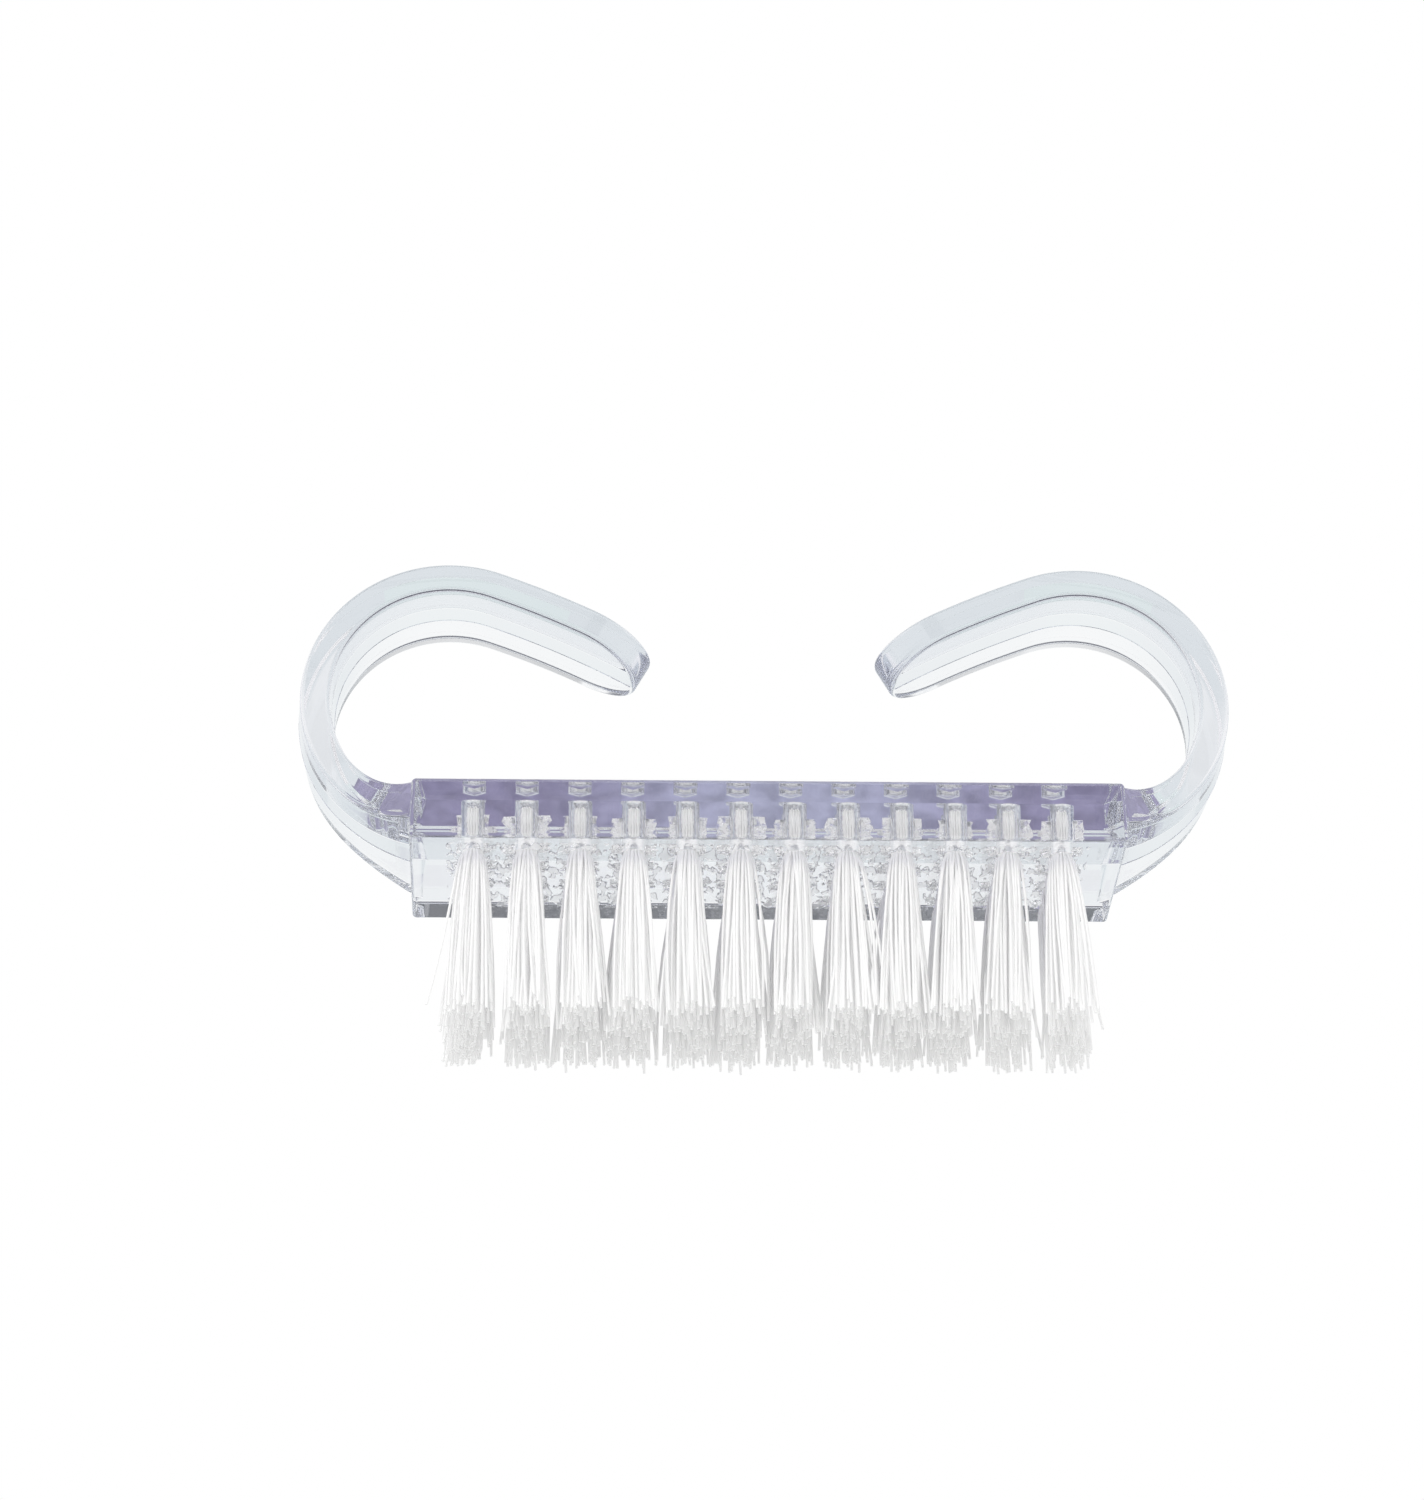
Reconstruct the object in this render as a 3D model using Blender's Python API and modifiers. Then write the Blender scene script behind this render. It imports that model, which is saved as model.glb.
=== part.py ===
"""Nail dust brush: a clear moulded body with two finger hooks, and 48 staple-set bristle tufts.

The brush stands on its bristle tips. X runs along the block, Y through its depth, with the
front at -Y, and +Z up from the tips to the hooks. Metres throughout. The origin is the
middle of the plane that the tips are trimmed to.
"""

import math

import bmesh
import bpy
import numpy as np
from mathutils import Matrix, Vector

# Block
BLOCK_LENGTH = 0.0492
BLOCK_HEIGHT = 0.00436
BLOCK_DEPTH = 0.0150
END_DRAFT = math.radians(2.0)
CROWN_DRAFT = math.radians(2.0)
BLOCK_EDGE_ROUND = 0.00030

# Finger hooks
OVERALL_WIDTH = 0.0652
HOOK_RADIUS = 0.0093
HOOK_THICKNESS = 0.0025
HOOK_WIDTH = 0.00885
HOOK_DRAFT = math.radians(3.0)
HOOK_EDGE_ROUND = 0.00030
ROOT_HEIGHT = 0.00245
ROOT_THICKNESS = 0.0030
ROOT_FILLET = 0.00062
ROOT_WIDTH = 0.0138
ROOT_FLARE = 0.0052
ROOT_BURY = 0.0022
TONGUE_START = math.radians(110.0)
TONGUE_LENGTH = 0.0115
TONGUE_RADIUS = 0.0650

# Drilled holes
COLUMNS = 12
ROWS = 4
COLUMN_PITCH = 0.00368
ROW_PITCH = 0.2033 * BLOCK_DEPTH
HOLE_DIAMETER = 0.00166
HOLE_DEPTH = 0.0030
DRILL_POINT = 0.00025
HOLE_SIDES = 10

# Tufts
BRISTLE_LENGTH = 0.0120
BUNDLE_WIDTH = 0.00115
BUNDLE_CLEARANCE = 0.00015
FOLD_SHARE = 0.72
ANCHOR_HEIGHT = 0.00040
ANCHOR_FROM_BOTTOM = 0.00085
ANCHOR_CLEARANCE = 0.00005
LOCK_GAP = 0.00004
LOCK_GROWTH = 2.3
TIP_CLEARANCE = 0.00015
OUTER_LEAN = 0.00045
LEAN_SPREAD = 0.00008

MAIN = bpy.data.collections.new("nail_dust_brush")
CUTTERS = bpy.data.collections.new("cutters")


def clear_scene():
    for item in list(bpy.data.objects):
        bpy.data.objects.remove(item, do_unlink=True)
    bpy.context.scene.collection.children.link(MAIN)
    bpy.context.scene.collection.children.link(CUTTERS)


def new_object(name, mesh, collection):
    item = bpy.data.objects.new(name, mesh)
    collection.objects.link(item)
    return item


def mesh_from(bm, name):
    bmesh.ops.recalc_face_normals(bm, faces=bm.faces)
    mesh = bpy.data.meshes.new(name)
    bm.to_mesh(mesh)
    bm.free()
    return mesh


def principled(name, colour, roughness, metallic=0.0, transmission=0.0, ior=1.5):
    material = bpy.data.materials.new(name)
    material.use_nodes = True
    shader = material.node_tree.nodes["Principled BSDF"]
    shader.inputs["Base Color"].default_value = (*colour, 1.0)
    shader.inputs["Roughness"].default_value = roughness
    shader.inputs["Metallic"].default_value = metallic
    shader.inputs["Transmission Weight"].default_value = transmission
    shader.inputs["IOR"].default_value = ior
    return material


def round_edges(item, width):
    """A small moulded radius on every edge sharper than the draft and the loft's own facets."""
    rounding = item.modifiers.new("round_edges", "BEVEL")
    rounding.width = width
    rounding.segments = 2
    rounding.limit_method = "ANGLE"
    rounding.angle_limit = math.radians(38.0)


def block_mesh():
    """A bar with drafted ends, whose top is crowned from both faces to the parting line."""
    crown = 0.5 * BLOCK_DEPTH * math.tan(CROWN_DRAFT)
    low = BRISTLE_LENGTH
    high = BRISTLE_LENGTH + BLOCK_HEIGHT
    front = -0.5 * BLOCK_DEPTH
    section = [(front, low), (-front, low), (-front, high), (0.0, high + crown), (front, high)]
    bm = bmesh.new()
    end = bm.faces.new([bm.verts.new((-0.5 * BLOCK_LENGTH, y, z)) for y, z in section])
    grown = bmesh.ops.extrude_face_region(bm, geom=[end])["geom"]
    for item in grown:
        if isinstance(item, bmesh.types.BMVert):
            item.co.x = 0.5 * BLOCK_LENGTH
    for vert in bm.verts:
        vert.co.x -= math.copysign((vert.co.z - low) * math.tan(END_DRAFT), vert.co.x)
    return mesh_from(bm, "block")


def hook_centre():
    """Centre of the hook's main arc in the XZ plane."""
    across = 0.5 * OVERALL_WIDTH - HOOK_RADIUS - 0.5 * HOOK_THICKNESS
    return (across, BRISTLE_LENGTH + ROOT_HEIGHT + HOOK_RADIUS)


def hook_path():
    """Points, outward normals and distances to the tip along the hook's centre line.

    A main arc climbs from inside the block, round the outside and over the top, and then a
    nearly straight tongue of large radius runs down towards the middle of the brush.
    """
    cx, cz = hook_centre()
    first = -0.5 * math.pi + math.asin((0.5 * BLOCK_LENGTH - ROOT_BURY - cx) / HOOK_RADIUS)
    arc = np.linspace(first, TONGUE_START, 30)
    half = 0.5 * HOOK_WIDTH
    round_end = half * (1.0 - np.cos(np.linspace(math.radians(12.0), 0.5 * math.pi, 8)))
    end = TONGUE_START + (TONGUE_LENGTH - round_end[::-1]) / TONGUE_RADIUS
    flat = np.linspace(TONGUE_START, end[0], 5)[1:-1]
    angles = np.concatenate([arc, flat, end])
    on_arc = angles <= TONGUE_START
    turn = HOOK_RADIUS - TONGUE_RADIUS
    ox = np.where(on_arc, cx, cx + turn * math.cos(TONGUE_START))
    oz = np.where(on_arc, cz, cz + turn * math.sin(TONGUE_START))
    radius = np.where(on_arc, HOOK_RADIUS, TONGUE_RADIUS)
    normals = np.stack([np.cos(angles), np.sin(angles)], 1)
    points = np.stack([ox, oz], 1) + radius[:, None] * normals
    to_end = np.where(
        on_arc,
        TONGUE_LENGTH + (TONGUE_START - angles) * HOOK_RADIUS,
        TONGUE_LENGTH - (angles - TONGUE_START) * TONGUE_RADIUS,
    )
    return points, normals, to_end


def hook_mesh():
    """The right hook, lofted through hexagonal sections that are thickest at the parting line.

    Near the block it flares in width and thickness, and its inner face is raised by a fillet
    that is highest at the block's end wall and runs out on both sides of it.
    """
    points, normals, to_end = hook_path()
    from_wall = (points[:, 0] - 0.5 * BLOCK_LENGTH) / ROOT_FLARE
    below = points[:, 1] < hook_centre()[1]
    flare = np.where(below, (1.0 - np.clip(from_wall, 0.0, 1.0)) ** 2, 0.0)
    fillet = np.where(below, ROOT_FILLET * (1.0 - np.clip(abs(from_wall), 0.0, 1.0)), 0.0)
    half = 0.5 * (HOOK_WIDTH + (ROOT_WIDTH - HOOK_WIDTH) * flare)
    end = 0.5 * HOOK_WIDTH
    rounded = np.sqrt(np.clip(end**2 - np.clip(end - to_end, 0.0, end) ** 2, 0.0, None))
    half = np.where(to_end < end, rounded, half)
    thick = 0.5 * (HOOK_THICKNESS + (ROOT_THICKNESS - HOOK_THICKNESS) * flare)
    thin = thick - half * math.tan(HOOK_DRAFT)
    bm = bmesh.new()
    rings = []
    for point, normal, w, t, e, f in zip(points, normals, half, thick, thin, fillet):
        section = [(t, 0.0), (e, w), (-e - f, w), (-t - f, 0.0), (-e - f, -w), (e, -w)]
        ring = []
        for out, side in section:
            x, z = point + normal * out
            ring.append(bm.verts.new((x, side, z)))
        rings.append(ring)
    for near, far in zip(rings[:-1], rings[1:]):
        for k in range(6):
            n = (k + 1) % 6
            bm.faces.new((near[k], near[n], far[n], far[k]))
    bm.faces.new(rings[0])
    bm.faces.new(rings[-1])
    return mesh_from(bm, "hook")


def hole_places():
    """(row, column, x, y) of each hole's centre on the bristle face; row 1 is the front one."""
    places = []
    for row in range(ROWS):
        for column in range(COLUMNS):
            x = (column - 0.5 * (COLUMNS - 1)) * COLUMN_PITCH
            y = (row - 0.5 * (ROWS - 1)) * ROW_PITCH
            places.append((row + 1, column + 1, x, y))
    return places


def hole_cutter_mesh():
    """All the drills, each a cylinder that starts clear of the face and ends in a drill point."""
    bm = bmesh.new()
    clear = 0.5 * HOLE_DIAMETER
    length = HOLE_DEPTH + clear
    top = BRISTLE_LENGTH + HOLE_DEPTH
    for _row, _column, x, y in hole_places():
        bmesh.ops.create_cone(
            bm,
            cap_ends=True,
            segments=HOLE_SIDES,
            radius1=0.5 * HOLE_DIAMETER,
            radius2=0.5 * HOLE_DIAMETER,
            depth=length,
            matrix=Matrix.Translation((x, y, top - 0.5 * length)),
        )
    caps = [face for face in bm.faces if face.calc_center_median().z > top - 1e-6]
    for vert in bmesh.ops.poke(bm, faces=caps)["verts"]:
        vert.co.z += DRILL_POINT
    return mesh_from(bm, "hole_drills")


def make_body(material):
    """Half of the moulding: rounded block and rounded hook joined, mirrored, then drilled."""
    body = new_object("brush_body", block_mesh(), MAIN)
    hook = new_object("hook_blank", hook_mesh(), CUTTERS)
    drills = new_object("hole_drills", hole_cutter_mesh(), CUTTERS)
    for helper in (hook, drills):
        helper.hide_render = True
        helper.display_type = "WIRE"
    round_edges(hook, HOOK_EDGE_ROUND)
    round_edges(body, BLOCK_EDGE_ROUND)
    join = body.modifiers.new("join_hook", "BOOLEAN")
    join.operation = "UNION"
    join.solver = "EXACT"
    join.object = hook
    mirror = body.modifiers.new("other_half", "MIRROR")
    mirror.use_axis = (True, False, False)
    mirror.use_bisect_axis = (True, False, False)
    mirror.use_clip = True
    mirror.merge_threshold = 0.00001
    drill = body.modifiers.new("drill_holes", "BOOLEAN")
    drill.operation = "DIFFERENCE"
    drill.solver = "EXACT"
    drill.object = drills
    body.data.materials.append(material)
    body.data.shade_smooth()
    body.data.set_sharp_from_angle(angle=math.radians(30.0))
    return body


def fan_factor(centres, reaches, half_cell):
    """How far the locks' centres can spread while every lock stays inside half a pitch."""
    limits = [
        (half_cell - LOCK_GROWTH * reach) / centre
        for centre, reach in zip(centres, reaches)
        if centre > 0.00005
    ]
    return min(limits)


def tuft_mesh(name, lean_x, lean_y):
    """One folded bundle with its anchor wire, and the eight locks that fan out of its mouth.

    The local origin is the middle of the hole's mouth. The bundle is a six-sided bar that
    narrows at its fold. The wire's two ends stand out of its flat sides. Its mouth end is
    split into eight triangles, and each grows into a three-sided lock.
    """
    hx = 0.5 * BUNDLE_WIDTH
    hy = 0.5 * HOLE_DIAMETER - BUNDLE_CLEARANCE
    w = 0.42 * hx
    inner = 0.42 * hy
    outline = [(hx, 0.0), (w, hy), (-w, hy), (-hx, 0.0), (-w, -hy), (w, -hy)]
    anchor_high = HOLE_DEPTH - ANCHOR_FROM_BOTTOM
    anchor_low = anchor_high - ANCHOR_HEIGHT
    fold = HOLE_DEPTH - BUNDLE_CLEARANCE
    levels = [(0.0, 1.0), (anchor_low, 1.0), (anchor_high, 1.0), (fold, FOLD_SHARE)]
    bm = bmesh.new()
    rings = []
    for z, share in levels:
        rings.append([bm.verts.new((x * share, y * share, z)) for x, y in outline])
    for near, far in zip(rings[:-1], rings[1:]):
        for k in range(6):
            n = (k + 1) % 6
            bm.faces.new((near[k], near[n], far[n], far[k]))
    bm.faces.new(rings[-1])
    upper = bm.verts.new((0.0, inner, 0.0))
    lower = bm.verts.new((0.0, -inner, 0.0))
    a, b, c, d, e, f = rings[0]
    mouth = [
        (b, c, upper),
        (c, d, upper),
        (d, lower, upper),
        (d, e, lower),
        (e, f, lower),
        (f, a, lower),
        (a, upper, lower),
        (a, b, upper),
    ]
    sites = [bm.faces.new(three) for three in mouth]
    bmesh.ops.recalc_face_normals(bm, faces=bm.faces)
    middle = 0.5 * (anchor_low + anchor_high)
    ends = []
    for face in bm.faces:
        if abs(face.normal.y) > 0.99 and abs(face.calc_center_median().z - middle) < 1e-6:
            ends.append(face)
    proud = 0.5 * HOLE_DIAMETER - ANCHOR_CLEARANCE
    for face in bmesh.ops.extrude_discrete_faces(bm, faces=ends)["faces"]:
        for vert in face.verts:
            vert.co.y = math.copysign(proud, vert.co.y)
    bmesh.ops.inset_individual(bm, faces=sites, thickness=LOCK_GAP, use_even_offset=True)
    centres = [site.calc_center_median() for site in sites]
    reach_x = [max(abs(v.co.x - m.x) for v in s.verts) for s, m in zip(sites, centres)]
    reach_y = [max(abs(v.co.y - m.y) for v in s.verts) for s, m in zip(sites, centres)]
    spare = TIP_CLEARANCE + LEAN_SPREAD
    fan_x = fan_factor([abs(m.x) for m in centres], reach_x, 0.5 * COLUMN_PITCH - spare)
    fan_y = fan_factor([abs(m.y) for m in centres], reach_y, 0.5 * ROW_PITCH - spare)
    for site in bmesh.ops.extrude_discrete_faces(bm, faces=sites)["faces"]:
        centre = site.calc_center_median()
        tip = Vector((centre.x * fan_x + lean_x, centre.y * fan_y + lean_y, -BRISTLE_LENGTH))
        for vert in site.verts:
            vert.co = tip + (vert.co - centre) * LOCK_GROWTH
    return mesh_from(bm, name)


def make_tufts(body, material):
    """A tuft in each hole, named by its row from the front and its column from the left."""
    rng = np.random.default_rng(7)
    for row, column, x, y in hole_places():
        name = f"tuft_r{row}_c{column:02d}"
        wander = rng.uniform(-1.0, 1.0, 2) * LEAN_SPREAD
        outward = (column == COLUMNS) - (column == 1)
        mesh = tuft_mesh(name, wander[0] + outward * OUTER_LEAN, wander[1])
        tuft = new_object(name, mesh, MAIN)
        tuft.location = (x, y, BRISTLE_LENGTH)
        tuft.parent = body
        tuft.data.materials.append(material)
        tuft.data.shade_smooth()
        tuft.data.set_sharp_from_angle(angle=math.radians(30.0))


def main():
    clear_scene()
    clear = principled("clear_styrene", (0.93, 0.94, 0.97), 0.04, 0.0, 1.0, 1.59)
    nylon = principled("white_nylon", (0.86, 0.86, 0.85), 0.42)
    body = make_body(clear)
    make_tufts(body, nylon)


main()
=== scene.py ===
# %% [markdown]
# # A clear nail dust brush
# The real object is one clear plastic moulding, a bar with a finger hook curling up from each
# end, and 48 small tufts of white nylon that a machine has stapled into drilled holes.
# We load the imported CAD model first. It gives the sizes, the places and the names, and every
# piece that we make stands where one of its nodes stands.

import math

import bmesh
import bpy
import numpy as np
from mathutils import Matrix


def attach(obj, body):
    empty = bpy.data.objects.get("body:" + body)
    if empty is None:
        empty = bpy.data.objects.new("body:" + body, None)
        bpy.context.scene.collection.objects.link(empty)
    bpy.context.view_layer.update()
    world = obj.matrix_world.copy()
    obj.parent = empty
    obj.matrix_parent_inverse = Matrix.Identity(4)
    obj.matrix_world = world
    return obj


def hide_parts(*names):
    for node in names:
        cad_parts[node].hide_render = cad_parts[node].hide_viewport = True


MM = 0.001
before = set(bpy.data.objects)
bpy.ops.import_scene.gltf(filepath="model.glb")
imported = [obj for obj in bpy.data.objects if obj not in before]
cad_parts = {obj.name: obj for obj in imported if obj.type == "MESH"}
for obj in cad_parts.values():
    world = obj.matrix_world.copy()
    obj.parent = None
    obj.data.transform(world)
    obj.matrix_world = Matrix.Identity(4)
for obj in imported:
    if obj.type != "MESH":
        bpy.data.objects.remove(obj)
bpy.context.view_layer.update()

# %% [markdown]
# ## The camera
# The picture looks up at the brush from below its bristles and a little from the left, with a
# long lens, so that the far edge of the block is nearly as long as the near one. A pinhole
# camera fitted to the block's corners gave these numbers. Blender's cameras and lamps look
# along their own -Z, so the three axes are the columns of the matrix.

# %% Camera
FOCAL_LENGTH, SENSOR_WIDTH = 127.06, 36.0
CAMERA_PLACE = (-0.015927, -0.33952, -0.12900)
CAMERA_RIGHT = np.array([0.99942, -0.03335, -0.00655])
CAMERA_BACK = np.array([-0.03313, -0.91333, -0.40589])


def aimed(right, back, place):
    """The matrix with the columns right, up, back and place. Back gets length 1, right loses
    its share along back and gets length 1, and up is back x right."""
    back = back / np.linalg.norm(back)
    right = right - back * np.dot(right, back)
    right = right / np.linalg.norm(right)
    matrix = np.eye(4)
    matrix[:3, 0], matrix[:3, 1], matrix[:3, 2] = right, np.cross(back, right), back
    matrix[:3, 3] = place
    return Matrix(matrix.tolist())


camera_data = bpy.data.cameras.new("picture_camera")
camera_data.sensor_width, camera_data.lens = SENSOR_WIDTH, FOCAL_LENGTH
camera_data.clip_start = 10.0 * MM
camera = bpy.data.objects.new("picture_camera", camera_data)
bpy.context.scene.collection.objects.link(camera)
camera.matrix_world = aimed(CAMERA_RIGHT, CAMERA_BACK, CAMERA_PLACE)
bpy.context.scene.camera = camera
print("camera looks up by", round(math.degrees(math.asin(-CAMERA_BACK[2])), 1), "degrees")

# %% [markdown]
# ## Colours and nodes
# Colours are written as sRGB hex, as one reads them off a screen. The shaders work in linear
# light, so one function turns one into the other. A second helper adds a node with its settings
# and its links, so that each material below reads as a short list.

# %% Colour and node helpers
def linear(hex_colour):
    """sRGB hex to linear RGBA: c/12.92 up to 0.04045, else ((c + 0.055) / 1.055) ** 2.4."""
    channels = [int(hex_colour[i : i + 2], 16) / 255.0 for i in (1, 3, 5)]
    return [c / 12.92 if c <= 0.04045 else ((c + 0.055) / 1.055) ** 2.4 for c in channels] + [1.0]


def add_node(tree, kind, settings=None, values=None, links=None):
    """Adds a node. settings are its properties, values its sockets' numbers, and links join
    (node, output) pairs to its input sockets."""
    node = tree.nodes.new(kind)
    for key, value in (settings or {}).items():
        setattr(node, key, value)
    for key, value in (values or {}).items():
        node.inputs[key].default_value = value
    for key, (source, output) in (links or {}).items():
        tree.links.new(source.outputs[output], node.inputs[key])
    return node


def new_material(name):
    """An empty node material and its output node."""
    material = bpy.data.materials.new(name)
    material.use_nodes = True
    material.node_tree.nodes.clear()
    return material, add_node(material.node_tree, "ShaderNodeOutputMaterial")


print("mid grey #808080 is", round(linear("#808080")[0], 3), "in linear light")

# %% [markdown]
# ## Surfaces from arrays
# Every new piece is a grid of points worked out by a formula. `skin` puts such grids into a
# mesh: the last axes of the array are the stations along the shape, the places around each
# station, and x, y, z. Axes in front of these are separate bodies of the same kind.

# %% Grid helper
WELD = 1e-7


def skin(name, rings, first_cap=True, last_cap=True):
    """A mesh over rings[..., station, place, xyz]. Neighbouring stations are joined by quads,
    the places close on themselves, and each end is closed by one flat face. Points that
    coincide, at a pole or a seam, are merged. The signed volume, the sum of a . (b x c) over
    the triangles, says whether the faces point outwards, and if not, they are turned."""
    rings = np.asarray(rings, float)
    bodies = rings.reshape(-1, *rings.shape[-3:])
    index = np.arange(bodies[..., 0].size).reshape(bodies.shape[:3])
    a, b = index[:, :-1], index[:, 1:]
    quads = np.stack([a, np.roll(a, -1, 2), np.roll(b, -1, 2), b], -1).reshape(-1, 4)
    points = bodies.reshape(-1, 3)
    p, q, r, s = (points[quads[:, k]] - points.mean(0) for k in range(4))
    volume = np.sum(p * (np.cross(q, r) + np.cross(r, s)))
    order = 1 if volume >= 0.0 else -1
    faces = quads[:, ::order].tolist()
    faces += index[:, 0, ::-order].tolist() if first_cap else []
    faces += index[:, -1, ::order].tolist() if last_cap else []
    mesh = bpy.data.meshes.new(name)
    mesh.from_pydata(points, [], faces)
    welded = bmesh.new()
    welded.from_mesh(mesh)
    bmesh.ops.remove_doubles(welded, verts=welded.verts, dist=WELD)
    welded.to_mesh(mesh)
    welded.free()
    return mesh


print("points are merged within", WELD, "m")


# %% Piece helper
def piece(name, mesh, material=None, sharp=35.0):
    """An object for a mesh, smooth except over edges sharper than the given angle."""
    obj = bpy.data.objects.new(name, mesh)
    bpy.context.scene.collection.objects.link(obj)
    if material is not None:
        mesh.materials.append(material)
    mesh.shade_smooth()
    mesh.set_sharp_from_angle(angle=math.radians(sharp))
    return obj


# %% [markdown]
# ## The block
# The bar is 49.2 x 15 x 4.36 mm. A mould opens along Y, so its top is crowned by 2 degrees from
# both faces to the line where the mould halves meet, and its ends are drafted by 2 degrees.
# Every edge has the 0.3 mm radius that a milling cutter leaves in the mould. We could use a
# cube and a Bevel modifier, but light bends at each of these surfaces, so we work the shape out
# and put a grid line close beside each rounding. That keeps the flats optically flat.

# %% Block sizes
BLOCK_LENGTH, BLOCK_DEPTH, BLOCK_HEIGHT = 49.2 * MM, 15.0 * MM, 4.36 * MM
BRISTLE_LENGTH = 12.0 * MM
CROWN_DRAFT = math.tan(math.radians(2.0))
END_DRAFT = math.tan(math.radians(2.0))
EDGE_ROUND = 0.30 * MM
BESIDE = 0.03 * MM
ROUNDING = np.linspace(0.0, 0.5 * math.pi, 13)
print("points along each rounding:", len(ROUNDING))


# %% Block surface
def rounded_bar():
    """Stations along X, each a rounded rectangle in YZ. At an end the corner radius shrinks as
    r cos t while x grows as r sin t, so the end edges and corners are round too."""
    a, b = 0.5 * BLOCK_DEPTH - EDGE_ROUND, 0.5 * BLOCK_HEIGHT - EDGE_ROUND
    along = np.array([BESIDE - a, -BESIDE, 0.0, BESIDE, a - BESIDE])
    sides = {0: [(-y, b) for y in along], 1: [(-a, b - BESIDE), (-a, BESIDE - b)],
             2: [(y, -b) for y in along], 3: [(a, BESIDE - b), (a, b - BESIDE)]}
    middles, turns = [], []
    for quarter, (sy, sz) in enumerate([(1, 1), (-1, 1), (-1, -1), (1, -1)]):
        middles += [(sy * a, sz * b)] * len(ROUNDING) + sides[quarter]
        turns += list(ROUNDING + quarter * 0.5 * math.pi)
        turns += [(quarter + 1) * 0.5 * math.pi] * len(sides[quarter])
    middles, turns = np.array(middles), np.array(turns)
    flat = 0.5 * BLOCK_LENGTH - EDGE_ROUND
    x = np.concatenate([[flat - BESIDE], flat + EDGE_ROUND * np.sin(ROUNDING)])
    radius = np.concatenate([[EDGE_ROUND], EDGE_ROUND * np.cos(ROUNDING)])
    x, radius = np.concatenate([-x[::-1], x]), np.concatenate([radius[::-1], radius])
    y = middles[:, 0] + radius[:, None] * np.cos(turns)
    z = middles[:, 1] + radius[:, None] * np.sin(turns) + 0.5 * BLOCK_HEIGHT
    z = z + z / BLOCK_HEIGHT * CROWN_DRAFT * (0.5 * BLOCK_DEPTH - np.abs(y))
    x = x[:, None] - np.sign(x)[:, None] * z * END_DRAFT
    return np.stack([x, y, z + BRISTLE_LENGTH], -1)


bar = rounded_bar()
print("block grid:", bar.shape, "lowest", bar.min((0, 1)), "highest", bar.max((0, 1)))

# %% [markdown]
# ## The hooks
# Each hook is a curved plate, 8.85 mm wide and 2.5 mm thick. Its middle line leaves the end of
# the block, climbs round an arc of 9.3 mm radius, and runs down again as a nearly straight
# tongue with a semicircular end. Near the block it flares to 13.8 mm.
#
# We could sweep a flat section, but then the round end would have no rim. Instead we draw the
# plate's outline unrolled, as a distance s along the middle line and a half width w, and carry
# the rounded rim along that outline's own normal. The points are then bent onto the arc.

# %% Hook sizes
OVERALL_WIDTH, HOOK_RADIUS = 65.2 * MM, 9.3 * MM
HOOK_THICKNESS, HOOK_WIDTH = 2.5 * MM, 8.85 * MM
HOOK_DRAFT = math.tan(math.radians(3.0))
ROOT_HEIGHT, ROOT_THICKNESS, ROOT_WIDTH = 2.45 * MM, 3.0 * MM, 13.8 * MM
ROOT_FLARE, ROOT_BURY, ROOT_FILLET = 5.2 * MM, 2.2 * MM, 0.62 * MM
TONGUE_START, TONGUE_LENGTH, TONGUE_RADIUS = math.radians(110.0), 11.5 * MM, 65.0 * MM
ARC_X = 0.5 * OVERALL_WIDTH - HOOK_RADIUS - 0.5 * HOOK_THICKNESS
ARC_Z = BRISTLE_LENGTH + ROOT_HEIGHT + HOOK_RADIUS
FIRST = -0.5 * math.pi + math.asin((0.5 * BLOCK_LENGTH - ROOT_BURY - ARC_X) / HOOK_RADIUS)
ARC_LENGTH = (TONGUE_START - FIRST) * HOOK_RADIUS
HOOK_LENGTH = ARC_LENGTH + TONGUE_LENGTH
print("a hook is", round(HOOK_LENGTH / MM, 1), "mm long along its middle line")


# %% Hook middle line
def middle_line(s):
    """Points and outward normals of the hook's middle line, at distances s from its root. It is
    an arc about (ARC_X, ARC_Z), then an arc of the tongue's radius that is tangent to it."""
    on_arc = s <= ARC_LENGTH
    angle = np.where(on_arc, FIRST + s / HOOK_RADIUS,
                     TONGUE_START + (s - ARC_LENGTH) / TONGUE_RADIUS)
    radius = np.where(on_arc, HOOK_RADIUS, TONGUE_RADIUS)
    shift = np.where(on_arc, 0.0, HOOK_RADIUS - TONGUE_RADIUS)
    normal = np.stack([np.cos(angle), np.sin(angle)], -1)
    centre = np.stack([ARC_X + shift * math.cos(TONGUE_START),
                       ARC_Z + shift * math.sin(TONGUE_START)], -1)
    return centre + radius[..., None] * normal, normal


def near_root(s):
    """1 at the block's end wall, falling evenly to 0 over the flare's length on both sides, and
    0 on the upper half of the hook; and the same but staying at 1 inside the block."""
    points, _ = middle_line(s)
    away = (points[..., 0] - 0.5 * BLOCK_LENGTH) / ROOT_FLARE
    below = points[..., 1] < ARC_Z
    both = np.where(below, 1.0 - np.clip(abs(away), 0.0, 1.0), 0.0)
    return both, np.where(below, 1.0 - np.clip(away, 0.0, 1.0), 0.0)


print("middle line, root and tip:", middle_line(np.array([0.0, HOOK_LENGTH]))[0].tolist())

# %% Hook outline
SIDE_STATIONS, END_STATIONS = 120, 36


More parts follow.
